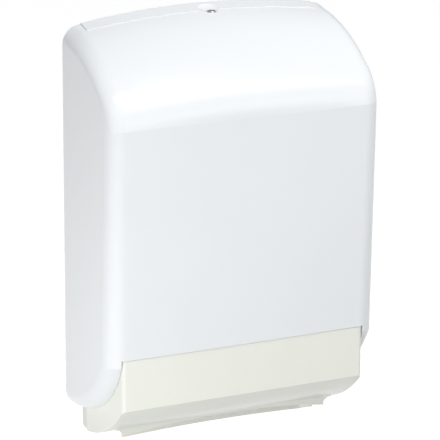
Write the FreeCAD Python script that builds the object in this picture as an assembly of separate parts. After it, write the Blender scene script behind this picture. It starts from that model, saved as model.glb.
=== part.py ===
import FreeCAD, Part
import math
import os

# Folded towel dispenser for a wall. Millimetres. X runs to the right as seen
# from the room, Y runs into the wall, Z runs up. The back face lies at Y = 0.
# The origin is the centre of the four wall holes, on the back face.
# Sizes below are given as a depth, out from the wall, and a height, up from
# the lowest edge of the outlet.

Vector = FreeCAD.Vector
LEFT, RIGHT = -1, 1
RIGHT_ANGLE = 90.0
DIAGONAL = math.sqrt(0.5)
NUT_SIDES = 6
SETTLE_ROUNDS = 8
overrun = 6.0

# Cover, a white shell open at the back and below
cover_wall = 3.0
cover_foot_width = 293.9
side_draft = 3.45
cover_crown_width = cover_foot_width - 2 * side_draft
cover_rear_gap = 1.5
cover_foot_height = 35.3
cover_crown_height = 434.4
front_edge_height = 112.0
front_edge_depth = 121.6
front_lean = 2.2
front_sag = 0.3
edge_corner_radius = 19.0
corner_taper = 0.72
side_slip = 0.05
front_reach = 140.0

# Side view of the crown: a gentle run forwards from the rear rim, a knee, a
# steeper shoulder and a large round down into the leaning front face
rear_tilt = 10.5
rear_run = 20.0
knee_radius = 190.0
shoulder_tilt = 37.0
shoulder_radius = 48.0
rear_sag = 12.6
rear_round = 19.0
fan_behind = 20.0
rear_run_shares = (0.0, 0.5)
knee_shares = (0.0, 0.14, 0.28, 0.43, 0.57, 0.71, 0.86)
shoulder_shares = (0.0,)
round_shares = (0.0, 0.25, 0.5, 0.72, 0.88)
band_depth = 19.5
band_rise = 0.9
band_drop = 40.0

# Side lobes of the cover: their lower edge is rolled in towards the chute
lobe_room = 15.85
lobe_gap = 0.5
lobe_front_depth = 121.5
lobe_bend_height = 111.9
lobe_bend_radius = 23.3
lobe_bend_turn = 28.8
lobe_front_lean = 3.4
lobe_sole_radius = 144.4
lobe_roll_radius = 17.0
lobe_heel_radius = 10.0
lobe_trim_height = 200.0

# Wall fixing
fixing_across = 180.0
fixing_low_height = 120.0
fixing_top_drop = 74.4
fixing_hole_radius = 2.75
fixing_boss_radius = 9.0
fixing_boss_depth = 6.0
fixing_rise = cover_crown_height - fixing_top_drop - fixing_low_height
fixing_height = fixing_low_height + fixing_rise / 2

# Hinge between the cover and the back plate
pivot_depth = 31.0
pivot_height = 43.0
pin_radius = 3.0
pin_slack = 0.05
pin_socket = 7.0
boss_radius = 8.0
bush_radius = 4.5
bush_flange_radius = 6.5
bush_flange_thick = 1.0
thrust_washer_thick = 1.6
hinge_side_gap = 0.3
stop_arm_thick = 3.0
stop_arm_reach = 16.0
stop_lug_height = 4.0
stop_gap = 0.3
stop_arm_lean = 45.0
stop_lug_length = 6.0
stop_lug_beyond = 8.9

# Ivory chute with the outlet
chute_width = cover_foot_width - 2 * lobe_room
chute_wall = 2.6
panel_gap = 0.5
panel_step = 0.6
seam_gap = 0.7
panel_depth = front_edge_depth - panel_step
tongue_depth = front_edge_depth - cover_wall - front_sag - panel_gap
panel_top_height = 124.0
panel_crease_height = 58.8
belly_mid = (62.8, 16.4)
belly_rear = (12.0, 0.8)
chute_rear_depth = 18.0
chute_side_top = 118.0
panel_corner_radius = 4.0
floor_gap = 0.2
floor_rear_depth = 3.3

# Outlet lips below the chute
outlet_end_room = 18.1
outlet_end_slant = 14.0
front_lip_depth = 70.0
front_lip_height = 10.5
front_lip_rise = 8.9
rear_lip_depth = 45.0
rear_lip_rise = 3.4
lip_wall = 2.5
flare_radius = 12.0
cove_radius = 7.0

# Back plate, moulded in ivory
plate_thick = 3.0
plate_side_gap = 1.6
plate_top_gap = 2.6
plate_step_height = 72.0
plate_corner_radius = 12.0
plate_rim_depth = 8.0
plate_rim_wall = 2.2
ear_wall = 3.0
ear_depth = 46.0
ear_top_height = 112.0
ear_bottom_height = 12.6
ear_front_radius = 14.0
ear_step_depth = 17.6
ear_step_height = 5.4
foot_low_height = 0.8
foot_round = 4.0
rib_offsets_share = (-0.46, -0.16, 0.16, 0.46)
rib_wall = 2.0
rib_depth = 6.0
rib_low = 130.0
rib_top_drop = 42.2

# Side guides for the towel stack
guide_wall = 2.0
guide_low = 128.0
guide_top_drop = 62.2
guide_depth = 98.0
guide_front_radius = 22.0
guide_foot_gap = 0.3
guide_foot_thick = 2.0
guide_pad_depth = 6.0

# Screws
screw_radius = 1.5
screw_head_radius = 3.0
screw_head_height = 1.8
screw_sink_depth = 1.6
chute_screw_depth = 35.0
chute_screw_heights = (78.0, 102.0)
chute_boss_radius = 4.0
chute_boss_length = 6.0
chute_screw_length = 7.6
guide_screw_shares = (0.08, 0.5, 0.92)
guide_screw_length = 6.6
drive_slot_width = 0.8
drive_slot_depth = 0.9

# Key lock in the cover's crown, turned a quarter to lock
lock_x = 6.5
lock_depth = 23.0
dish_radius = 8.0
dish_sink = 1.1
lock_boss_radius = 12.5
lock_boss_drop = 8.7
barrel_head_radius = 4.5
barrel_head_height = 1.6
barrel_radius = 3.9
barrel_length = 17.7
plug_radius = 2.8
plug_slack = 0.05
plug_tail_side = 3.4
plug_tail_length = 1.9
key_slot_length = 4.2
key_slot_width = 1.0
key_slot_depth = 6.0
lock_nut_across = 11.0
lock_nut_height = 2.6
lock_washer_radius = 6.0
lock_washer_thick = 0.8
cam_gap = 0.2
cam_thick = 1.5
cam_width = 8.0
cam_reach = 14.0
cam_screw_radius = 1.25
cam_screw_length = 5.0

# Steel strike that the cam turns behind
strike_thick = 1.5
strike_start = 6.0
strike_width = 16.0
strike_reach = 29.3
strike_cam_gap = 0.6
strike_lip_rise = 5.5
strike_drop = 22.0
strike_screw_spread = 9.0
strike_screw_drop = 8.0
strike_pad_depth = 6.0

# Places that follow from the sizes above
chute_half = chute_width / 2
notch_half = chute_half + lobe_gap
stop_lug_half = chute_half + stop_lug_beyond
boss_face_half = chute_half + bush_flange_thick + hinge_side_gap + thrust_washer_thick
ear_inner_half = chute_half - chute_wall - ear_wall
rim_inner_half = cover_crown_width / 2 - cover_wall - plate_side_gap - plate_rim_wall
guide_foot_width = rim_inner_half - guide_foot_gap - ear_inner_half
floor_half = ear_inner_half - floor_gap
outlet_front_half = chute_half - outlet_end_room
outlet_rear_half = outlet_front_half - outlet_end_slant
guide_high = cover_crown_height - guide_top_drop
rib_high = cover_crown_height - rib_top_drop


def level(height):
    """Z of a height above the outlet's lowest edge."""
    return height - fixing_height


def spot(x, depth, height):
    """A point from its X, its depth out from the wall and its height."""
    return Vector(x, -depth, level(height))


def block(x_low, x_high, depth_low, depth_high, low, high):
    """A box between two X values, two depths and two heights."""
    size = (x_high - x_low, depth_high - depth_low, high - low)
    return Part.makeBox(*size, spot(x_low, depth_high, low))


def upright(radius, x, depth, low, high):
    """A cylinder along Z."""
    return Part.makeCylinder(radius, high - low, spot(x, depth, low), Vector(0, 0, 1))


def crossways(radius, side, near_half, far_half, depth, height):
    """A cylinder along X on one side, between two distances from the middle."""
    start = spot(side * near_half, depth, height)
    return Part.makeCylinder(radius, far_half - near_half, start, Vector(side, 0, 0))


def outward(radius, x, height, depth_low, depth_high):
    """A cylinder that runs out from the wall."""
    start = spot(x, depth_low, height)
    return Part.makeCylinder(radius, depth_high - depth_low, start, Vector(0, -1, 0))


def line(a, b):
    return Part.makeLine(a, b)


def arc(a, through, b):
    return Part.Arc(a, through, b).toShape()


def prism(edges, run):
    """A solid from a closed outline, pushed along a vector."""
    return Part.Face(Part.Wire(edges)).extrude(run)


def side_spot(x):
    """A helper that places depth and height pairs on the plane of one X."""
    return lambda pair: spot(x, pair[0], pair[1])


def polar(centre, radius, degrees):
    """A point round a centre in the side view: 0 is forwards, 90 is up."""
    turn = math.radians(degrees)
    return (centre[0] + radius * math.cos(turn), centre[1] + radius * math.sin(turn))


def edge_at(shape, point):
    """The edge that runs through a point."""
    vertex = Part.Vertex(point)
    return min(shape.Edges, key=lambda edge: edge.distToShape(vertex)[0])


def rim_at(shape, centre):
    """The round edge about a centre."""
    rims = [edge for edge in shape.Edges if isinstance(edge.Curve, Part.Circle)]
    return min(rims, key=lambda edge: edge.Curve.Center.distanceToPoint(centre))


# Cover

def cover_half(height):
    """Half the cover's outer width at a height: the sides open slightly downwards."""
    share = (height - cover_foot_height) / (cover_crown_height - cover_foot_height)
    return (cover_foot_width + (cover_crown_width - cover_foot_width) * share) / 2


def between(first, last, share):
    """The point at a share of the way between two points of the side view."""
    return (first[0] + (last[0] - first[0]) * share, first[1] + (last[1] - first[1]) * share)


def front_depth(height):
    """Depth of the leaning front face at a height."""
    return front_edge_depth + (height - front_edge_height) * math.tan(math.radians(front_lean))


def front_corner(height):
    """Radius of the upright front corners, which grows downwards."""
    taper = math.tan(math.radians(corner_taper))
    return edge_corner_radius - (height - front_edge_height) * taper


def crown_arcs():
    """Centres of the knee and of the round into the front face, in the side view."""
    tilt = math.radians(rear_tilt)
    steep = math.radians(shoulder_tilt)
    lean = math.radians(front_lean)
    knee_depth = cover_rear_gap + rear_run * math.cos(tilt)
    knee_height = cover_crown_height - rear_run * math.sin(tilt)
    knee = (knee_depth - knee_radius * math.sin(tilt), knee_height - knee_radius * math.cos(tilt))
    # The round touches the shoulder's straight line and the front face's line.
    top = (knee[0] + knee_radius * math.sin(steep), knee[1] + knee_radius * math.cos(steep))
    near = (top[0] - shoulder_radius * math.sin(steep), top[1] - shoulder_radius * math.cos(steep))
    gap = front_depth(near[1]) - near[0] - shoulder_radius / math.cos(lean)
    run = gap / (math.cos(steep) + math.sin(steep) * math.tan(lean))
    centre = (near[0] + run * math.cos(steep), near[1] - run * math.sin(steep))
    return knee, centre


def crown_points():
    """Places along the crown line, evenly apart, each with its tilt below the horizontal."""
    knee, centre = crown_arcs()
    start = (cover_rear_gap, cover_crown_height)
    knee_start = polar(knee, knee_radius, RIGHT_ANGLE - rear_tilt)
    knee_end = polar(knee, knee_radius, RIGHT_ANGLE - shoulder_tilt)
    round_start = polar(centre, shoulder_radius, RIGHT_ANGLE - shoulder_tilt)
    points = [(between(start, knee_start, -rear_run_shares[1]), rear_tilt)]
    for share in rear_run_shares:
        points.append((between(start, knee_start, share), rear_tilt))
    for share in knee_shares:
        tilt = rear_tilt + (shoulder_tilt - rear_tilt) * share
        points.append((polar(knee, knee_radius, RIGHT_ANGLE - tilt), tilt))
    for share in shoulder_shares:
        points.append((between(knee_end, round_start, share), shoulder_tilt))
    front_tilt = RIGHT_ANGLE + front_lean
    for share in round_shares:
        tilt = shoulder_tilt + (front_tilt - shoulder_tilt) * share
        points.append((polar(centre, shoulder_radius, RIGHT_ANGLE - tilt), tilt))
    return points


def crown_height(depth):
    """Height of the crown line at a depth on its rear run."""
    return cover_crown_height - (depth - cover_rear_gap) * math.tan(math.radians(rear_tilt))


def rib_outline(base, crown, sag, radius, inset):
    """One section of the cover: two leaning sides, rounded corners and a bowed outer edge.

    It lies in the plane across the body through two places of the side view.
    """
    reach = math.hypot(crown[0] - base[0], crown[1] - base[1])
    run, rise = (crown[0] - base[0]) / reach, (crown[1] - base[1]) / reach
    half = cover_half(crown[1]) - inset
    low_half = cover_half(base[1]) - inset
    lean = math.atan2(low_half - half, reach)
    arch = (half * half + sag * sag) / (2 * sag)
    # The corner touches the bowed edge from inside, and the leaning side.
    centre_x = half - radius / math.cos(lean)
    for _ in range(SETTLE_ROUNDS):
        up = math.sqrt((arch - radius) ** 2 - centre_x ** 2)
        centre_r = reach - arch + up
        centre_x = half + (reach - centre_r) * math.tan(lean) - radius / math.cos(lean)
    tilt = math.atan2(centre_x, up)
    middle = (tilt + math.pi / 2 - lean) / 2
    top = (centre_x + radius * math.sin(tilt), centre_r + radius * math.cos(tilt))
    bend = (centre_x + radius * math.sin(middle), centre_r + radius * math.cos(middle))
    end = (centre_x + radius * math.cos(lean), centre_r + radius * math.sin(lean))

    def at(side, pair):
        return spot(side * pair[0], base[0] + run * pair[1], base[1] + rise * pair[1])

    low = (low_half, 0)
    return Part.Wire([
        line(at(LEFT, low), at(LEFT, end)),
        arc(at(LEFT, end), at(LEFT, bend), at(LEFT, top)),
        arc(at(LEFT, top), at(LEFT, (0, reach)), at(RIGHT, top)),
        arc(at(RIGHT, top), at(RIGHT, bend), at(RIGHT, end)),
        line(at(RIGHT, end), at(RIGHT, low)),
        line(at(RIGHT, low), at(LEFT, low)),
    ])


def cover_form(inset, rear_depth, low):
    """The whole outer form: a fan of sections over the crown, and level ones below it."""
    _, centre = crown_arcs()
    level_height = centre[1] - shoulder_radius * math.sin(math.radians(front_lean))
    hub = (-fan_behind, level_height)
    span = RIGHT_ANGLE + front_lean - rear_tilt
    outlines = []
    for point, tilt in crown_points():
        turn = math.radians(tilt)
        crown = (point[0] - inset * math.sin(turn), point[1] - inset * math.cos(turn))
        reach = math.hypot(crown[0] - hub[0], crown[1] - hub[1])
        base = between(hub, crown, overrun / reach)
        share = (tilt - rear_tilt) / span
        sag = rear_sag + (front_sag - rear_sag) * share
        radius = rear_round + (front_corner(level_height) - rear_round) * share - inset
        outlines.append(rib_outline(base, crown, sag, radius, inset))
    outlines.append(level_outline(level_height, hub[0], inset))
    upper = Part.makeLoft(outlines, True, False)
    lower = Part.makeLoft([level_outline(level_height, hub[0], inset),
                           level_outline(low - overrun, hub[0], inset)], True, True)
    half = cover_foot_width
    box = block(-half, half, rear_depth, half, low, 2 * cover_crown_height)
    return upper.common(box).fuse(lower.common(box)).removeSplitter()


def level_outline(height, rear, inset):
    """A level section of the cover at a height."""
    base = (rear + overrun, height)
    crown = (front_depth(height) - inset, height)
    return rib_outline(base, crown, front_sag, front_corner(height) - inset, inset)


def lobe_arcs():
    """Centres of the lobe's front bend and of its long sole, in the side view."""
    bend = (lobe_front_depth - lobe_bend_radius, lobe_bend_height)
    away = 2 * RIGHT_ANGLE - lobe_bend_turn
    sole = polar(bend, lobe_sole_radius - lobe_bend_radius, away)
    return bend, sole


def lobe_body(side, inset):
    """A thick slab with the lobe's side view, its outer lower edge rounded off."""
    bend, sole = lobe_arcs()
    bend_radius = lobe_bend_radius - inset
    sole_radius = lobe_sole_radius - inset
    front = polar(bend, bend_radius, -lobe_front_lean)
    bend_mid = polar(bend, bend_radius, -(lobe_front_lean + lobe_bend_turn) / 2)
    turn = polar(bend, bend_radius, -lobe_bend_turn)
    sole_mid = polar(sole, sole_radius, -(lobe_bend_turn + RIGHT_ANGLE) / 2)
    rear = belly_point(sole, sole_radius, -overrun)
    high = cover_crown_height
    reach = (high - front[1]) * math.tan(math.radians(lobe_front_lean))
    front_high = (front[0] + reach, high)
    rear_high = (-overrun, high)
    at = side_spot(0)
    edges = [
        line(at(front_high), at(front)),
        arc(at(front), at(bend_mid), at(turn)),
        arc(at(turn), at(sole_mid), at(rear)),
        line(at(rear), at(rear_high)),
        line(at(rear_high), at(front_high)),
    ]
    far = cover_foot_width / 2 + side_slip - inset
    slab = prism(edges, Vector(far, 0, 0))
    at = side_spot(far)
    front_mid = ((front[0] + front_high[0]) / 2, (front[1] + high) / 2)
    rolled = [edge_at(slab, at(place)) for place in (front_mid, bend_mid, sole_mid)]
    slab = slab.makeFillet(lobe_roll_radius - inset, rolled)
    lean = math.degrees(math.atan2(cover_half(0) - cover_half(high), high))
    slab.rotate(at((0, rear[1])), Vector(0, 1, 0), -lean)
    if side == LEFT:
        slab = slab.mirror(Vector(0, 0, 0), Vector(1, 0, 0))
    return slab


def lobe_trim(side, inset):
    """What is cut off a plain box to leave the rolled lobe on one side."""
    near, far = sorted((side * notch_half, side * cover_foot_width))
    low = -2 * overrun
    box = block(near, far, -overrun, front_reach, low, lobe_trim_height)
    return box.cut(lobe_body(side, inset))


def heel_cutter():
    """Rounds the lobes' lowest rear corner, so that it swings clear of the wall."""
    bend, sole = lobe_arcs()
    radius = lobe_heel_radius
    depth = cover_rear_gap + radius
    centre = belly_point(sole, lobe_sole_radius - radius, depth)
    share = lobe_sole_radius / (lobe_sole_radius - radius)
    touch = (sole[0] + (centre[0] - sole[0]) * share, sole[1] + (centre[1] - sole[1]) * share)
    back = (cover_rear_gap, centre[1])
    middle = polar(centre, radius, 2 * RIGHT_ANGLE + RIGHT_ANGLE / 2)
    at = side_spot(-cover_foot_width)
    edges = [
        arc(at(back), at(middle), at(touch)),
        line(at(touch), at((touch[0], -overrun))),
        line(at((touch[0], -overrun)), at((-overrun, -overrun))),
        line(at((-overrun, -overrun)), at((-overrun, centre[1]))),
        line(at((-overrun, centre[1])), at(back)),
    ]
    return prism(edges, Vector(2 * cover_foot_width, 0, 0))


def lock_seat_height():
    """Height of the flat in the dish that the lock's head rests on."""
    return crown_height(lock_depth) - dish_sink


def dish_cutter():
    """A shallow round scoop about the lock."""
    seat = lock_seat_height()
    scoop = (dish_radius ** 2 + dish_sink ** 2) / (2 * dish_sink)
    ball = Part.makeSphere(scoop, spot(lock_x, lock_depth, seat + scoop))
    flat = upright(barrel_head_radius + lock_washer_thick, lock_x, lock_depth, seat, seat + overrun)
    return ball.fuse(flat)


def seam_roll(radius):
    """A cylinder about the hinge: across it the cover's front edge meets the chute's panel."""
    half = notch_half
    return crossways(radius, RIGHT, -half, half, pivot_depth, pivot_height)


def seam_radius():
    """How far the cover's lower front edge is from the hinge's axis."""
    return math.hypot(front_edge_depth - pivot_depth, front_edge_height - pivot_height)


def make_cover():
    outer = cover_form(0, cover_rear_gap, 0)
    inner = cover_form(cover_wall, -overrun, -overrun)
    for side in (LEFT, RIGHT):
        outer = outer.cut(lobe_trim(side, 0))
        inner = inner.cut(lobe_trim(side, cover_wall))
    # The rear edge of the crown is a raised band between the two corners.
    half = cover_crown_width / 2 - rear_round
    rear = block(-half, half, cover_rear_gap, band_depth, cover_crown_height - band_drop,
                 cover_crown_height + band_drop)
    outer = outer.fuse(cover_form(-band_rise, cover_rear_gap, 0).common(rear))
    seat = lock_seat_height()
    boss = upright(lock_boss_radius, lock_x, lock_depth, seat - lock_boss_drop, cover_crown_height)
    shell = outer.cut(inner).fuse(boss.common(outer))
    top = front_edge_height
    shell = shell.cut(block(-notch_half, notch_half, -overrun, front_reach, -overrun, top))
    shell = shell.cut(seam_roll(seam_radius()))
    shell = shell.cut(heel_cutter())
    shell = shell.cut(dish_cutter())
    bore = upright(barrel_radius, lock_x, lock_depth, seat - lock_boss_drop - overrun, seat + overrun)
    shell = shell.cut(bore)
    for side in (LEFT, RIGHT):
        wall_half = cover_half(pivot_height) - cover_wall / 2
        boss = crossways(boss_radius, side, boss_face_half, wall_half, pivot_depth, pivot_height)
        near, far = sorted((side * boss_face_half, side * wall_half))
        arm_low = pivot_depth - stop_arm_thick / 2
        arm = block(near, far, arm_low, arm_low + stop_arm_thick, pivot_height + pin_radius,
                    pivot_height + stop_arm_reach)
        arm.rotate(spot(0, pivot_depth, pivot_height), Vector(1, 0, 0), -stop_arm_lean)
        shell = shell.fuse(boss.cut(lobe_trim(side, 0))).fuse(arm)
        socket = crossways(pin_radius, side, boss_face_half - overrun,
                           boss_face_half + pin_socket, pivot_depth, pivot_height)
        shell = shell.cut(socket)
    return shell.removeSplitter()


# Chute

def belly_arc(inset):
    """Start, middle and end of the curved underside, moved inwards."""
    front = (panel_depth, panel_crease_height)
    a, b, c = (Vector(p[0], p[1], 0) for p in (front, belly_mid, belly_rear))
    curve = Part.Arc(a, b, c).toShape().Curve
    centre = (curve.Center.x, curve.Center.y)
    radius = curve.Radius - inset
    return centre, radius


def belly_point(centre, radius, depth):
    """Point of the underside at a depth."""
    return (depth, centre[1] - math.sqrt(radius ** 2 - (depth - centre[0]) ** 2))


def chute_section(inset, rear_depth):
    """Side view of the chute: flat panel above, curved underside below."""
    centre, radius = belly_arc(inset)
    depth = panel_depth - inset
    start = belly_point(centre, radius, depth)
    middle = belly_point(centre, radius, (depth + rear_depth) / 2)
    end = belly_point(centre, radius, rear_depth)
    return depth, start, middle, end


def chute_block(half, inset, rear_depth, top):
    depth, start, middle, end = chute_section(inset, rear_depth)
    at = side_spot(-half)
    edges = [
        line(at((depth, top)), at(start)),
        arc(at(start), at(middle), at(end)),
        line(at(end), at((rear_depth, top))),
        line(at((rear_depth, top)), at((depth, top))),
    ]
    return prism(edges, Vector(2 * half, 0, 0))


def outlet_flare():
    """The collar's flare in the side view: where it leaves the underside, its bend and its end."""
    centre, radius = belly_arc(0)
    middle = belly_point(centre, radius + flare_radius, front_lip_depth + flare_radius)
    leave = between(centre, middle, radius / (radius + flare_radius))
    first = math.degrees(math.atan2(leave[1] - middle[1], leave[0] - middle[0]))
    bend = polar(middle, flare_radius, (first + 2 * RIGHT_ANGLE) / 2)
    return leave, bend, (front_lip_depth, middle[1])


def outlet_profile(half):
    """Side view of the outlet's collar, flared where it leaves the underside."""
    centre, radius = belly_arc(0)
    at = side_spot(-half)
    leave, bend, upright_end = outlet_flare()
    inner_leave = (leave[0], leave[1] + chute_wall)
    rear_top = (rear_lip_depth, belly_point(centre, radius, rear_lip_depth)[1] + chute_wall)
    lip_end = (front_lip_depth, min(front_lip_height, upright_end[1]))
    edges = [
        arc(at(leave), at(bend), at(upright_end)),
        line(at(upright_end), at(lip_end)),
        line(at(lip_end), at((rear_lip_depth, 0))),
        line(at((rear_lip_depth, 0)), at(rear_top)),
        line(at(rear_top), at(inner_leave)),
        line(at(inner_leave), at(leave)),
    ]
    return prism(edges, Vector(2 * half, 0, 0))


def outlet_coves():
    """Small coves where the ends of the collar meet the underside."""
    leave, _, upright_end = outlet_flare()
    low = upright_end[1]
    high = leave[1] + chute_wall
    far = outlet_front_half + cove_radius
    near = outlet_front_half - lip_wall / 2
    at = lambda x, h: spot(x, front_lip_depth, h)
    middle = (far - cove_radius * DIAGONAL, low + cove_radius * DIAGONAL)
    solids = []
    for side in (LEFT, RIGHT):
        edges = [
            line(at(side * near, low), at(side * outlet_front_half, low)),
            arc(at(side * outlet_front_half, low), at(side * middle[0], middle[1]),
                at(side * far, low + cove_radius)),
            line(at(side * far, low + cove_radius), at(side * far, high)),
            line(at(side * far, high), at(side * near, high)),
            line(at(side * near, high), at(side * near, low)),
        ]
        slant = side * (outlet_rear_half - outlet_front_half)
        back = prism(edges, Vector(slant, front_lip_depth - rear_lip_depth, 0))
        ahead = prism(edges, Vector(0, front_lip_depth - leave[0], 0))
        solids.append(back.fuse(ahead))
    return solids[0].fuse(solids[1]).common(outlet_profile(far))


def outlet_plan(inset, front):
    """The collar seen from above: wider at the front lip than at the rear one."""
    rear = rear_lip_depth + inset
    turn = front_lip_depth - inset
    rear_half = outlet_rear_half - inset
    turn_half = outlet_front_half - inset
    at = lambda x, depth: spot(x, depth, -overrun)
    corners = [(-rear_half, rear), (-turn_half, turn), (-turn_half, front)]
    corners += [(turn_half, front), (turn_half, turn), (rear_half, rear)]
    places = [at(x, depth) for x, depth in corners]
    edges = [line(places[index - 1], places[index]) for index in range(len(places))]
    return prism(edges, Vector(0, 0, panel_crease_height))


def outlet_hole():
    """The slot through the collar, one wall inside its plan."""
    front = front_lip_depth - lip_wall
    plan = outlet_plan(lip_wall, front + overrun)
    half = chute_half
    return plan.common(block(-half, half, 0, front, -overrun, panel_crease_height))


def lip_arch_cutter(height, rise, depth_low, depth_high):
    """The low arch along one lip's lower edge."""
    half = outlet_front_half
    at = lambda x, h: spot(x, depth_low, h)
    edges = [
        arc(at(-half, height), at(0, height + rise), at(half, height)),
        line(at(half, height), at(half, -overrun)),
        line(at(half, -overrun), at(-half, -overrun)),
        line(at(-half, -overrun), at(-half, height)),
    ]
    return prism(edges, Vector(0, depth_low - depth_high, 0))


def make_chute():
    half = chute_half
    shell = chute_block(half, 0, chute_rear_depth, panel_top_height)
    corner_height = (panel_crease_height + panel_top_height) / 2
    corners = [edge_at(shell, spot(side * half, panel_depth, corner_height)) for side in (LEFT, RIGHT)]
    shell = shell.makeFillet(panel_corner_radius, corners)
    floor = chute_block(floor_half, 0, floor_rear_depth, panel_top_height)
    reach = chute_rear_depth + chute_wall
    floor = floor.common(block(-half, half, floor_rear_depth, reach, -overrun, panel_crease_height))
    collar = outlet_profile(outlet_front_half).common(outlet_plan(0, panel_depth))
    hollow = chute_block(half - chute_wall, chute_wall, -overrun, panel_top_height + overrun)
    # Above the seam the panel steps back to a tongue behind the cover's front.
    step_low = front_edge_height - chute_wall
    step_high = panel_top_height + 2 * overrun
    bar = block(-half, half, tongue_depth - chute_wall, front_reach, step_low, step_high)
    hollow = hollow.cut(bar)
    step = block(-notch_half, notch_half, tongue_depth, front_reach, step_low, step_high)
    shell = shell.fuse(floor).fuse(collar).fuse(outlet_coves()).cut(hollow)
    shell = shell.cut(step.cut(seam_roll(seam_radius() - seam_gap)))
    shell = shell.cut(outlet_hole())
    middle = (front_lip_depth + rear_lip_depth) / 2
    front_arch = lip_arch_cutter(front_lip_height, front_lip_rise, middle, front_reach)
    rear_arch = lip_arch_cutter(0, rear_lip_rise, rear_lip_depth, middle)
    shell = shell.cut(front_arch).cut(rear_arch)
    trim_depth = panel_depth - panel_corner_radius - chute_wall
    trim = block(-notch_half, notch_half, -overrun, trim_depth, chute_side_top, step_high)
    shell = shell.cut(trim)
    for side in (LEFT, RIGHT):
        near, far = sorted((side * (half - panel_corner_radius), side * notch_half))
        end = block(near, far, trim_depth - overrun, front_reach, chute_side_top, step_high)
        shell = shell.cut(end)
    for side in (LEFT, RIGHT):
        for height in chute_screw_heights:
            boss = crossways(chute_boss_radius, side, half - chute_wall / 2, half + chute_boss_length,
                             chute_screw_depth, height)
            shell = shell.fuse(boss)
        near, far = sorted((side * (half - chute_wall / 2), side * stop_lug_half))
        lug_high = pivot_height - stop_arm_thick / 2 - stop_gap
        lug_far = pivot_depth + stop_arm_reach
        lug = block(near, far, lug_far - stop_lug_length, lug_far, lug_high - stop_lug_height, lug_high)
        lug.rotate(spot(0, pivot_depth, pivot_height), Vector(1, 0, 0), -stop_arm_lean)
        shell = shell.fuse(lug)
        bore = crossways(bush_radius, side, half - chute_wall - overrun, half + overrun,
                         pivot_depth, pivot_height)
        shell = shell.cut(bore)
        for height in chute_screw_heights:
            start = half - chute_wall - overrun
            end = half - chute_wall - ear_wall + chute_screw_length
            hole = crossways(screw_radius, side, start, end, chute_screw_depth, height)
            shell = shell.cut(hole)
    return shell.removeSplitter()


# Back plate

def plate_half(height):
    """Half the plate's width at a height, inside the cover's side wall."""
    return cover_half(height) - cover_wall - plate_side_gap


def plate_outline(inset, depth_low, depth_high):
    """Front view of the plate: wide above, narrow between the cover's lobes."""
    crown = cover_crown_height - cover_wall - plate_top_gap - inset
    top_half = plate_half(crown) - inset
    arch = (top_half ** 2 + rear_sag ** 2) / (2 * rear_sag)
    corner = crown - rear_sag
    radius = plate_corner_radius
    turn_x = top_half - radius
    turn_h = crown - arch + math.sqrt(arch ** 2 - turn_x ** 2)
    side_h = corner - radius
    bend_x = turn_x + radius * DIAGONAL
    bend_h = side_h + radius * DIAGONAL
    step = plate_step_height + inset
    step_half = plate_half(step) - inset
    foot_half = chute_half - chute_wall - inset
    low = foot_low_height
    at = lambda x, h: spot(x, depth_low, h)
    edges = [
        arc(at(-turn_x, turn_h), at(0, crown), at(turn_x, turn_h)),
        arc(at(turn_x, turn_h), at(bend_x, bend_h), at(top_half, side_h)),
        line(at(top_half, side_h), at(step_half, step)),
        line(at(step_half, step), at(foot_half, step)),
        line(at(foot_half, step), at(foot_half, low)),
        line(at(foot_half, low), at(-foot_half, low)),
        line(at(-foot_half, low), at(-foot_half, step)),
        line(at(-foot_half, step), at(-step_half, step)),
        line(at(-step_half, step), at(-top_half, side_h)),
        arc(at(-top_half, side_h), at(-bend_x, bend_h), at(-turn_x, turn_h)),
    ]
    return prism(edges, Vector(0, depth_low - depth_high, 0))


def make_ear(side):
    """The upright ear that carries the hinge and the chute."""
    outer = chute_half - chute_wall
    inner = outer - ear_wall
    radius = ear_front_radius
    centre_top = (ear_depth - radius, ear_top_height - radius)
    centre_low = (ear_depth - radius, ear_bottom_height + radius)
    at = side_spot(side * inner)
    low = foot_low_height
    edges = [
        line(at((0, low)), at((0, ear_top_height))),
        line(at((0, ear_top_height)), at((centre_top[0], ear_top_height))),
        arc(at((centre_top[0], ear_top_height)), at(polar(centre_top, radius, RIGHT_ANGLE / 2)),
            at((ear_depth, centre_top[1]))),
        line(at((ear_depth, centre_top[1])), at((ear_depth, centre_low[1]))),
        arc(at((ear_depth, centre_low[1])), at(polar(centre_low, radius, -RIGHT_ANGLE / 2)),
            at((centre_low[0], ear_bottom_height))),
        line(at((centre_low[0], ear_bottom_height)), at((ear_step_depth, ear_step_height))),
        line(at((ear_step_depth, ear_step_height)), at((ear_step_depth, low))),
        line(at((ear_step_depth, low)), at((0, low))),
    ]
    return prism(edges, Vector(side * ear_wall, 0, 0))


def foot_cutter():
    """Rounds the plate's lowest rear edge, ears included."""
    half = chute_half
    high = foot_low_height + foot_round
    corner = block(-half, half, 0, foot_round, foot_low_height, high)
    return corner.cut(crossways(foot_round, RIGHT, -half, half, foot_round, high))


def guide_screw_heights():
    rise = guide_high - guide_low
    return [guide_low + rise * share for share in guide_screw_shares]


def guide_foot_middle():
    return ear_inner_half + guide_wall + (guide_foot_width - guide_wall) / 2


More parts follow.
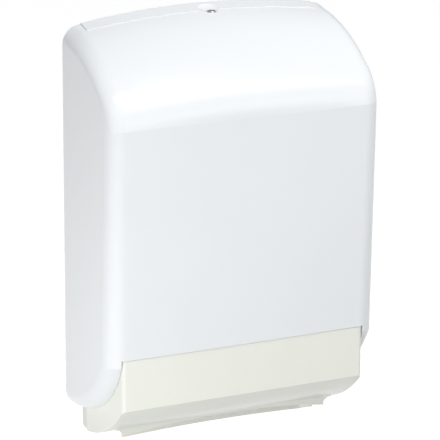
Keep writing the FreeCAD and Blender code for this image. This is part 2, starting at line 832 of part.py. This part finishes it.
def make_back_plate():
    plate = plate_outline(0, 0, plate_thick)
    rim = plate_outline(0, 0, plate_rim_depth).cut(plate_outline(plate_rim_wall, -overrun,
                                                                 plate_rim_depth + overrun))
    rim = rim.cut(block(-cover_foot_width, cover_foot_width, -overrun, front_reach,
                        -overrun, plate_step_height - overrun))
    plate = plate.fuse(rim)
    for side in (LEFT, RIGHT):
        plate = plate.fuse(make_ear(side))
        near, far = sorted((side * ear_inner_half, side * (ear_inner_half + guide_foot_width)))
        pad = block(near, far, 0, guide_pad_depth, guide_low, guide_high)
        plate = plate.fuse(pad)
    for share in rib_offsets_share:
        middle = share * chute_half
        rib = block(middle - rib_wall / 2, middle + rib_wall / 2, 0, rib_depth, rib_low, rib_high)
        plate = plate.fuse(rib)
    middle = lock_x + strike_start + strike_width / 2
    strike_low = strike_level() - strike_drop
    pad = block(middle - strike_width / 2, middle + strike_width / 2, 0, strike_pad_depth,
                strike_low, strike_level() + strike_thick)
    plate = plate.fuse(pad)
    for across in (LEFT, RIGHT):
        for rise in (LEFT, RIGHT):
            x = across * fixing_across / 2
            height = fixing_height + rise * fixing_rise / 2
            plate = plate.fuse(outward(fixing_boss_radius, x, height, 0, fixing_boss_depth))
    for across in (LEFT, RIGHT):
        for rise in (LEFT, RIGHT):
            x = across * fixing_across / 2
            height = fixing_height + rise * fixing_rise / 2
            plate = plate.cut(outward(fixing_hole_radius, x, height, -overrun,
                                      fixing_boss_depth + overrun))
    for side in (LEFT, RIGHT):
        for height in guide_screw_heights():
            x = side * guide_foot_middle()
            end = guide_pad_depth + guide_foot_thick
            plate = plate.cut(outward(screw_radius, x, height, end - guide_screw_length, end))
        for height in chute_screw_heights:
            plate = plate.cut(chute_screw(side, height))
        outer = chute_half - chute_wall
        bore = crossways(bush_radius, side, outer - ear_wall - overrun, outer + overrun,
                         pivot_depth, pivot_height)
        plate = plate.cut(bore)
    for x, height in strike_screw_places():
        plate = plate.cut(outward(screw_radius, x, height, strike_screw_start(), overrun * 2))
    return plate.cut(foot_cutter()).removeSplitter()


# Side guides

def make_guide(side):
    """An upright wall beside the towel stack, with a foot on the back plate."""
    radius = guide_front_radius
    start = guide_pad_depth
    inner = ear_inner_half
    top_centre = (guide_depth - radius, guide_high - radius)
    low_centre = (guide_depth - radius, guide_low + radius)
    at = side_spot(side * inner)
    edges = [
        line(at((start, guide_low)), at((start, guide_high))),
        line(at((start, guide_high)), at((top_centre[0], guide_high))),
        arc(at((top_centre[0], guide_high)), at(polar(top_centre, radius, RIGHT_ANGLE / 2)),
            at((guide_depth, top_centre[1]))),
        line(at((guide_depth, top_centre[1])), at((guide_depth, low_centre[1]))),
        arc(at((guide_depth, low_centre[1])), at(polar(low_centre, radius, -RIGHT_ANGLE / 2)),
            at((low_centre[0], guide_low))),
        line(at((low_centre[0], guide_low)), at((start, guide_low))),
    ]
    wall = prism(edges, Vector(side * guide_wall, 0, 0))
    near, far = sorted((side * inner, side * (inner + guide_foot_width)))
    foot = block(near, far, start, start + guide_foot_thick, guide_low, guide_high)
    guide = wall.fuse(foot)
    for height in guide_screw_heights():
        hole = outward(screw_radius, side * guide_foot_middle(), height, start - overrun,
                       start + guide_foot_thick + overrun)
        guide = guide.cut(hole)
    return guide.removeSplitter()


# Screws

def pan_screw(x, height, seat_depth, length):
    """A pan head screw that runs in towards the wall from its seat."""
    head = outward(screw_head_radius, x, height, seat_depth, seat_depth + screw_head_height)
    rim = rim_at(head, spot(x, seat_depth + screw_head_height, height))
    head = head.makeFillet(screw_head_height / 2, [rim])
    shank = outward(screw_radius, x, height, seat_depth - length, seat_depth)
    face = seat_depth + screw_head_height
    reach = screw_head_radius
    slot = block(x - reach, x + reach, face - drive_slot_depth, face + overrun,
                 height - drive_slot_width / 2, height + drive_slot_width / 2)
    return head.fuse(shank).cut(slot)


def chute_screw(side, height):
    """A flat head screw from inside the ear into the chute's boss."""
    face = ear_inner_half
    start = spot(side * face, chute_screw_depth, height)
    head = Part.makeCone(screw_head_radius, screw_radius, screw_sink_depth, start, Vector(side, 0, 0))
    shank = crossways(screw_radius, side, face, face + chute_screw_length, chute_screw_depth, height)
    return head.fuse(shank)


def slotted_chute_screw(side, height):
    face = ear_inner_half
    near, far = sorted((side * (face - overrun), side * (face + drive_slot_depth)))
    reach = screw_head_radius
    slot = block(near, far, chute_screw_depth - reach, chute_screw_depth + reach,
                 height - drive_slot_width / 2, height + drive_slot_width / 2)
    return chute_screw(side, height).cut(slot)


# Hinge

def make_pin(side):
    far = boss_face_half + pin_socket
    return crossways(pin_radius, side, ear_inner_half, far, pivot_depth, pivot_height)


def make_bush(side):
    outer = chute_half
    inner = ear_inner_half
    body = crossways(bush_radius, side, inner, outer + bush_flange_thick, pivot_depth, pivot_height)
    flange = crossways(bush_flange_radius, side, outer, outer + bush_flange_thick,
                       pivot_depth, pivot_height)
    bore = crossways(pin_radius + pin_slack, side, inner - overrun, outer + overrun,
                     pivot_depth, pivot_height)
    return body.fuse(flange).cut(bore)


def make_thrust_washer(side):
    start = boss_face_half - thrust_washer_thick
    ring = crossways(bush_flange_radius, side, start, boss_face_half, pivot_depth, pivot_height)
    hole = crossways(pin_radius, side, start - overrun, boss_face_half + overrun,
                     pivot_depth, pivot_height)
    return ring.cut(hole)


# Lock

def lock_column(radius, low, high):
    return upright(radius, lock_x, lock_depth, low, high)


def barrel_low():
    return lock_seat_height() - barrel_length


def cam_top():
    return barrel_low() - cam_gap


def make_barrel():
    seat = lock_seat_height()
    head = lock_column(barrel_head_radius, seat, seat + barrel_head_height)
    rim = rim_at(head, spot(lock_x, lock_depth, seat + barrel_head_height))
    head = head.makeFillet(barrel_head_height / 2, [rim])
    body = lock_column(barrel_radius, barrel_low(), seat)
    bore = lock_column(plug_radius + plug_slack, barrel_low() - overrun, seat + overrun)
    return head.fuse(body).cut(bore)


def make_plug():
    seat = lock_seat_height()
    top = seat + barrel_head_height
    plug = lock_column(plug_radius, barrel_low(), top)
    reach = plug_tail_side / 2
    tail = block(lock_x - reach, lock_x + reach, lock_depth - reach, lock_depth + reach,
                 cam_top() - plug_tail_length, barrel_low())
    slot = block(lock_x - key_slot_length / 2, lock_x + key_slot_length / 2,
                 lock_depth - key_slot_width / 2, lock_depth + key_slot_width / 2,
                 top - key_slot_depth, top + overrun)
    thread = lock_column(cam_screw_radius, cam_top() - plug_tail_length - overrun,
                         cam_top() - cam_thick + cam_screw_length)
    return plug.fuse(tail).cut(slot).cut(thread)


def make_cam():
    """A flat arm on the plug's square tail. It points to the wall when unlocked."""
    top = cam_top()
    hub = lock_column(cam_width / 2, top - cam_thick, top)
    arm = block(lock_x - cam_width / 2, lock_x + cam_width / 2, lock_depth - cam_reach + cam_width / 2,
                lock_depth, top - cam_thick, top)
    tip = upright(cam_width / 2, lock_x, lock_depth - cam_reach + cam_width / 2, top - cam_thick, top)
    reach = plug_tail_side / 2
    square = block(lock_x - reach, lock_x + reach, lock_depth - reach, lock_depth + reach,
                   top - cam_thick - overrun, top + overrun)
    return hub.fuse(arm).fuse(tip).cut(square).removeSplitter()


def make_cam_screw():
    seat = cam_top() - plug_tail_length
    shank = lock_column(cam_screw_radius, seat, cam_top() - cam_thick + cam_screw_length)
    head = lock_column(screw_head_radius, seat - screw_head_height, seat)
    reach = screw_head_radius
    slot = block(lock_x - reach, lock_x + reach, lock_depth - drive_slot_width / 2,
                 lock_depth + drive_slot_width / 2, seat - screw_head_height - overrun,
                 seat - screw_head_height + drive_slot_depth)
    return head.fuse(shank).cut(slot)


def make_lock_washer():
    high = lock_seat_height() - lock_boss_drop
    ring = lock_column(lock_washer_radius, high - lock_washer_thick, high)
    return ring.cut(lock_column(barrel_radius, high - overrun, high + overrun))


def make_lock_nut():
    high = lock_seat_height() - lock_boss_drop - lock_washer_thick
    radius = lock_nut_across / 2 / math.cos(math.pi / NUT_SIDES)
    corners = []
    for index in range(NUT_SIDES):
        turn = 2 * math.pi * index / NUT_SIDES
        corners.append(spot(lock_x + radius * math.cos(turn), lock_depth + radius * math.sin(turn),
                            high - lock_nut_height))
    edges = [line(corners[index - 1], corners[index]) for index in range(NUT_SIDES)]
    nut = prism(edges, Vector(0, 0, lock_nut_height))
    return nut.cut(lock_column(barrel_radius, high - lock_nut_height - overrun, high + overrun))


# Strike

def strike_level():
    """Height of the top of the strike's flat tab, under the cam's screw plane."""
    return cam_top() - cam_thick - strike_cam_gap


def strike_screw_places():
    middle = lock_x + strike_start + strike_width / 2
    height = strike_level() - strike_thick - strike_screw_drop
    offset = strike_screw_spread / 2
    return [(middle - offset, height), (middle + offset, height)]


def strike_screw_start():
    return strike_pad_depth - guide_screw_length + strike_thick + stop_gap


def make_strike():
    """A bent plate: screwed down on the pad, out under the cam, up in front of it."""
    x_low = lock_x + strike_start
    x_high = x_low + strike_width
    top = strike_level()
    base = block(x_low, x_high, strike_pad_depth, strike_pad_depth + strike_thick,
                 top - strike_drop, top)
    tab = block(x_low, x_high, strike_pad_depth, strike_reach, top - strike_thick, top)
    lip = block(x_low, x_high, strike_reach - strike_thick, strike_reach,
                top - strike_thick, top + strike_lip_rise)
    strike = base.fuse(tab).fuse(lip)
    for x, height in strike_screw_places():
        strike = strike.cut(outward(screw_radius, x, height, 0, strike_reach))
    return strike.removeSplitter()


def make_strike_screws():
    seat = strike_pad_depth + strike_thick
    length = seat - strike_screw_start()
    return [pan_screw(x, height, seat, length) for x, height in strike_screw_places()]


def make_guide_screws():
    seat = guide_pad_depth + guide_foot_thick
    screws = []
    for side in (LEFT, RIGHT):
        for height in guide_screw_heights():
            screws.append(pan_screw(side * guide_foot_middle(), height, seat, guide_screw_length))
    return screws


def make_chute_screws():
    return [slotted_chute_screw(side, height) for side in (LEFT, RIGHT) for height in chute_screw_heights]


def build():
    parts = {
        "cover": make_cover(),
        "towel_chute": make_chute(),
        "back_plate": make_back_plate(),
        "chute_screws": Part.makeCompound(make_chute_screws()),
        "guide_screws": Part.makeCompound(make_guide_screws()),
        "strike_plate": make_strike(),
        "strike_screws": Part.makeCompound(make_strike_screws()),
        "lock_barrel": make_barrel(),
        "lock_plug": make_plug(),
        "lock_cam": make_cam(),
        "lock_washer": make_lock_washer(),
        "lock_nut": make_lock_nut(),
        "cam_screw": make_cam_screw(),
    }
    for side, name in ((LEFT, "left"), (RIGHT, "right")):
        parts["side_guide_" + name] = make_guide(side)
        parts["hinge_pin_" + name] = make_pin(side)
        parts["hinge_bush_" + name] = make_bush(side)
        parts["thrust_washer_" + name] = make_thrust_washer(side)
    return parts


os.makedirs("parts", exist_ok=True)
for name, shape in build().items():
    box = shape.BoundBox
    print(name, len(shape.Solids), shape.isValid(), round(shape.Volume, 1),
          [round(v, 1) for v in (box.XMin, box.XMax, box.YMin, box.YMax, box.ZMin, box.ZMax)])
    shape.exportStep("parts/" + name + ".step")
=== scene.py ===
import math

import bpy
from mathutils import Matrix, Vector


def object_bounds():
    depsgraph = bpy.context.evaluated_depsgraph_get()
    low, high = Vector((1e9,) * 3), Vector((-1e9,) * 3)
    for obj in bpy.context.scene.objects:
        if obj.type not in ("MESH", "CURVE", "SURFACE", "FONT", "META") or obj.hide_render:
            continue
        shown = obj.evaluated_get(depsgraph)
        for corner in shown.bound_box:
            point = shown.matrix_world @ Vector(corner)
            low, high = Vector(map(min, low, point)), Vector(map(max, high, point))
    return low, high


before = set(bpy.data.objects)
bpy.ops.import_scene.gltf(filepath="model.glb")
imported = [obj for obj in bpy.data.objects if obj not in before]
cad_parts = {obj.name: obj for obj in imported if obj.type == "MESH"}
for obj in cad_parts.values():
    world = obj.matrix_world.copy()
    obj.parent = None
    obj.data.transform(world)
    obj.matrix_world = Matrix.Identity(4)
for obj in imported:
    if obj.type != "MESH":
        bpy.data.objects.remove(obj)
CAD_BOX = [list(corner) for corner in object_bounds()]

# Camera: a long lens, turned to the left of the front and a little above it.
CAMERA_TURN = math.radians(23.5)
CAMERA_TILT = math.radians(17.7)
CAMERA_AIM = Vector((0.0, -0.060, -0.024))
CAMERA_DISTANCE = 2.6157
CAMERA_LENS = 212.7
CAMERA_SENSOR = 36.0
CAMERA_SHIFT_X = -0.0004
CAMERA_SHIFT_Y = 0.0170
CAMERA_REACH = 50.0

# Floor: wide enough to fill the view, and below the object, which hangs on a wall.
FLOOR_GAP = 0.2
FLOOR_HALF = 9.0
FLOOR_GLOW = 0.82
FLOOR_TONES = (180, 184)
FLOOR_ROUGHNESS = (0.8, 0.9)
FLOOR_MIRROR = 0.1
FLOOR_NOISE = (3.0, 3.0, 0.5)

# Light level of the world.
WORLD_LEVEL = 0.245
WORLD_COLOUR = (0.985, 0.992, 1.0, 1.0)
WHITE = (1.0, 1.0, 1.0, 1.0)

# Noise textures: scale, detail and roughness. Bump depths are in metres.
NOISE_SPAN = (0.3, 0.7)
DRIFT_SCALE = 5.0
DRIFT_GRAIN = (2.0, 0.5)
SMUDGE_TIMES = 3.0
SMUDGE_GRAIN = (3.0, 0.5)
RIPPLE_NOISE = (22.0, 1.0, 0.4)
GRAIN_NOISE = (1400.0, 2.0, 0.5)
PATCH_NOISE = (160.0, 4.0, 0.6)
MARK_NOISE = (900.0, 3.0, 0.6)
RIPPLE_DEPTH = 0.00001
GRAIN_DEPTH = 0.000001
MARK_DEPTH = 0.000004
BUMP_STRENGTH = 1.0
COAT_ROUGHNESS = 0.08
PLAIN_MIRROR = 0.5

# Display values to linear light.
DISPLAY_TOP = 255.0
TOE_END, TOE_SLOPE = 0.04045, 12.92
CURVE_SHIFT, CURVE_POWER = 0.055, 2.4


# Small helpers for node trees

def new_material(name):
    """A node material with its tree and its Principled shader."""
    material = bpy.data.materials.new(name)
    material.use_nodes = True
    tree = material.node_tree
    return material, tree, tree.nodes["Principled BSDF"]


def noise(tree, where, scale, detail, rough):
    """Object-space noise, as large as its scale says."""
    made = tree.nodes.new("ShaderNodeTexNoise")
    made.inputs["Scale"].default_value = scale
    made.inputs["Detail"].default_value = detail
    made.inputs["Roughness"].default_value = rough
    tree.links.new(where, made.inputs["Vector"])
    return made.outputs["Fac"]


def spread(tree, source, low, high):
    """Maps a texture value onto a range."""
    made = tree.nodes.new("ShaderNodeMapRange")
    made.inputs["From Min"].default_value = NOISE_SPAN[0]
    made.inputs["From Max"].default_value = NOISE_SPAN[1]
    made.inputs["To Min"].default_value = low
    made.inputs["To Max"].default_value = high
    tree.links.new(source, made.inputs["Value"])
    return made.outputs["Result"]


def tint(tree, source, low, high):
    """Maps a texture value onto a run between two colours."""
    made = tree.nodes.new("ShaderNodeValToRGB")
    for element, place, colour in zip(made.color_ramp.elements, NOISE_SPAN, (low, high)):
        element.position = place
        element.color = (*colour, 1.0)
    tree.links.new(source, made.inputs["Fac"])
    return made.outputs["Color"]


def bump(tree, height, distance, under=None):
    """A bump of the given depth in metres, on top of another one."""
    made = tree.nodes.new("ShaderNodeBump")
    made.inputs["Strength"].default_value = BUMP_STRENGTH
    made.inputs["Distance"].default_value = distance
    tree.links.new(height, made.inputs["Height"])
    if under is not None:
        tree.links.new(under, made.inputs["Normal"])
    return made.outputs["Normal"]


def object_place(tree):
    """The place on the object, in metres of the shared frame."""
    return tree.nodes.new("ShaderNodeTexCoord").outputs["Object"]


def larger(tree, first, second):
    """The larger of two values."""
    made = tree.nodes.new("ShaderNodeMath")
    made.operation = "MAXIMUM"
    tree.links.new(first, made.inputs[0])
    tree.links.new(second, made.inputs[1])
    return made.outputs[0]


def srgb(*values):
    """A colour from its display values, 0 to 255."""
    out = []
    for value in values:
        share = value / DISPLAY_TOP
        curve = ((share + CURVE_SHIFT) / (1.0 + CURVE_SHIFT)) ** CURVE_POWER
        out.append(share / TOE_SLOPE if share <= TOE_END else curve)
    return tuple(out)


def moulded(name, low, high, roughness, coat=0.0, mirror=PLAIN_MIRROR):
    """Injection-moulded plastic: faint colour drift, slow flow ripple, fine grain, uneven gloss."""
    material, tree, shader = new_material(name)
    place = object_place(tree)
    drift = noise(tree, place, DRIFT_SCALE, *DRIFT_GRAIN)
    tree.links.new(tint(tree, drift, low, high), shader.inputs["Base Color"])
    smudge = noise(tree, place, DRIFT_SCALE * SMUDGE_TIMES, *SMUDGE_GRAIN)
    tree.links.new(spread(tree, smudge, *roughness), shader.inputs["Roughness"])
    ripple = bump(tree, noise(tree, place, *RIPPLE_NOISE), RIPPLE_DEPTH)
    grain = bump(tree, noise(tree, place, *GRAIN_NOISE), GRAIN_DEPTH, ripple)
    tree.links.new(grain, shader.inputs["Normal"])
    shader.inputs["Coat Weight"].default_value = coat
    shader.inputs["Coat Roughness"].default_value = COAT_ROUGHNESS
    shader.inputs["Specular IOR Level"].default_value = mirror
    return material


def metal(name, low, high, roughness, stretch=(1.0, 1.0, 1.0)):
    """Metal with stretched tool marks, patchy tone and uneven gloss."""
    material, tree, shader = new_material(name)
    place = object_place(tree)
    mapping = tree.nodes.new("ShaderNodeMapping")
    mapping.inputs["Scale"].default_value = stretch
    tree.links.new(place, mapping.inputs["Vector"])
    marks = noise(tree, mapping.outputs["Vector"], *MARK_NOISE)
    patch = noise(tree, place, *PATCH_NOISE)
    tree.links.new(tint(tree, patch, low, high), shader.inputs["Base Color"])
    tree.links.new(spread(tree, patch, *roughness), shader.inputs["Roughness"])
    tree.links.new(bump(tree, marks, MARK_DEPTH), shader.inputs["Normal"])
    shader.inputs["Metallic"].default_value = 1.0
    return material


FINISHES = {
    "cover_white": moulded("cover_white", srgb(239, 242, 244), srgb(242, 245, 247),
                           (0.21, 0.25), coat=0.08, mirror=0.26),
    "chute_ivory": moulded("chute_ivory", srgb(239, 241, 232), srgb(242, 244, 235),
                           (0.20, 0.25), mirror=0.40),
    "plate_ivory": moulded("plate_ivory", srgb(228, 228, 220), srgb(234, 233, 226), (0.34, 0.44)),
    "guide_grey": moulded("guide_grey", srgb(176, 179, 180), srgb(186, 189, 190), (0.34, 0.44)),
    "steel_zinc": metal("steel_zinc", srgb(176, 180, 184), srgb(205, 208, 210), (0.26, 0.42),
                        (1.0, 1.0, 4.0)),
    "lock_chrome": metal("lock_chrome", srgb(214, 213, 209), srgb(226, 225, 221), (0.28, 0.38)),
    "pin_steel": metal("pin_steel", srgb(188, 190, 193), srgb(206, 208, 210), (0.18, 0.30),
                       (12.0, 1.0, 1.0)),
    "bush_plastic": moulded("bush_plastic", srgb(224, 224, 219), srgb(232, 232, 228), (0.38, 0.48)),
}

NODE_FINISHES = {
    "cover": "cover_white", "towel_chute": "chute_ivory", "back_plate": "plate_ivory",
    "side_guide_left": "guide_grey", "side_guide_right": "guide_grey",
    "chute_screws": "steel_zinc", "guide_screws": "steel_zinc",
    "strike_plate": "steel_zinc", "strike_screws": "steel_zinc",
    "lock_barrel": "lock_chrome", "lock_plug": "lock_chrome",
    "lock_cam": "steel_zinc", "lock_washer": "steel_zinc", "lock_nut": "steel_zinc",
    "cam_screw": "steel_zinc",
    "hinge_pin_left": "pin_steel", "hinge_pin_right": "pin_steel",
    "hinge_bush_left": "bush_plastic", "hinge_bush_right": "bush_plastic",
    "thrust_washer_left": "bush_plastic", "thrust_washer_right": "bush_plastic",
}
for name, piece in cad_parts.items():
    for slot in piece.material_slots:
        slot.material = FINISHES[NODE_FINISHES[name]]


# Floor: pale, with the object's soft shadow kept

def floor_material():
    """A pale matt surface that glows white to the camera, in reflections and through glass."""
    material, tree, shader = new_material("floor_pale")
    drift = noise(tree, object_place(tree), *FLOOR_NOISE)
    low, high = (srgb(tone, tone, tone) for tone in FLOOR_TONES)
    tree.links.new(tint(tree, drift, low, high), shader.inputs["Base Color"])
    tree.links.new(spread(tree, drift, *FLOOR_ROUGHNESS), shader.inputs["Roughness"])
    shader.inputs["Specular IOR Level"].default_value = FLOOR_MIRROR
    rays = tree.nodes.new("ShaderNodeLightPath").outputs
    seen = larger(tree, rays["Is Camera Ray"], rays["Is Glossy Ray"])
    clear = larger(tree, seen, rays["Is Transmission Ray"])
    level = tree.nodes.new("ShaderNodeMath")
    level.operation = "MULTIPLY"
    level.inputs[1].default_value = FLOOR_GLOW
    tree.links.new(clear, level.inputs[0])
    glow = tree.nodes.new("ShaderNodeEmission")
    glow.inputs["Color"].default_value = WHITE
    tree.links.new(level.outputs[0], glow.inputs["Strength"])
    both = tree.nodes.new("ShaderNodeAddShader")
    tree.links.new(shader.outputs["BSDF"], both.inputs[0])
    tree.links.new(glow.outputs["Emission"], both.inputs[1])
    out = tree.nodes["Material Output"]
    tree.links.new(both.outputs["Shader"], out.inputs["Surface"])
    return material


def make_floor():
    """A wide pale floor below the lowest point."""
    low = CAD_BOX[0][2] - FLOOR_GAP
    half = FLOOR_HALF
    corners = [(-half, -half, low), (half, -half, low), (half, half, low), (-half, half, low)]
    mesh = bpy.data.meshes.new("floor")
    mesh.from_pydata(corners, [], [(0, 1, 2, 3)])
    mesh.materials.append(floor_material())
    floor = bpy.data.objects.new("floor", mesh)
    bpy.context.scene.collection.objects.link(floor)


make_floor()


# Light

def soft_box(name, place, aim, size, watts, mirrored):
    """A large soft lamp that faces a point, with or without its own reflection."""
    lamp = bpy.data.lights.new(name, "AREA")
    lamp.shape = "RECTANGLE"
    lamp.size, lamp.size_y = size
    lamp.energy = watts
    holder = bpy.data.objects.new(name, lamp)
    holder.location = place
    holder.visible_glossy = mirrored
    direction = Vector(aim) - Vector(place)
    holder.rotation_euler = direction.to_track_quat("-Z", "Y").to_euler()
    bpy.context.scene.collection.objects.link(holder)


world = bpy.data.worlds.new("studio")
world.use_nodes = True
back = world.node_tree.nodes["Background"]
back.inputs["Color"].default_value = WORLD_COLOUR
back.inputs["Strength"].default_value = WORLD_LEVEL
bpy.context.scene.world = world

# Name, place, aim, width and height, and power of each soft box. The fill stands
# in for light that a white studio throws back, so it shows no reflection.
BODY_MIDDLE = (0.0, -0.06, 0.0)
BODY_LOW_LEFT = (-0.12, -0.06, -0.15)
FILLS = ("under_left",)
LAMPS = [
    ("top", (0.067, -0.83, 2.378), BODY_MIDDLE, (1.6, 1.2), 34.5),
    ("high_right", (0.817, -1.596, 1.932), BODY_MIDDLE, (1.2, 1.0), 14.6),
    ("mid_right", (1.115, -2.157, 1.058), BODY_MIDDLE, (1.2, 0.6), 1.8),
    ("low_right", (1.082, -2.381, 0.451), BODY_MIDDLE, (1.4, 0.7), 8.9),
    ("under_left", (-0.95, -0.55, -0.3), BODY_LOW_LEFT, (0.9, 0.25), 6.2),
]
for name, place, aim, size, watts in LAMPS:
    soft_box(name, place, aim, size, watts, name not in FILLS)


# Camera

gaze = Vector((math.sin(CAMERA_TURN) * math.cos(CAMERA_TILT),
               math.cos(CAMERA_TURN) * math.cos(CAMERA_TILT),
               -math.sin(CAMERA_TILT)))
lens = bpy.data.cameras.new("photo_camera")
lens.lens = CAMERA_LENS
lens.sensor_width = CAMERA_SENSOR
lens.shift_x = CAMERA_SHIFT_X
lens.shift_y = CAMERA_SHIFT_Y
lens.clip_end = CAMERA_REACH
camera = bpy.data.objects.new("photo_camera", lens)
camera.location = CAMERA_AIM - gaze * CAMERA_DISTANCE
camera.rotation_euler = gaze.to_track_quat("-Z", "Y").to_euler()
bpy.context.scene.collection.objects.link(camera)
bpy.context.scene.camera = camera
bpy.context.scene.view_settings.view_transform = "Standard"
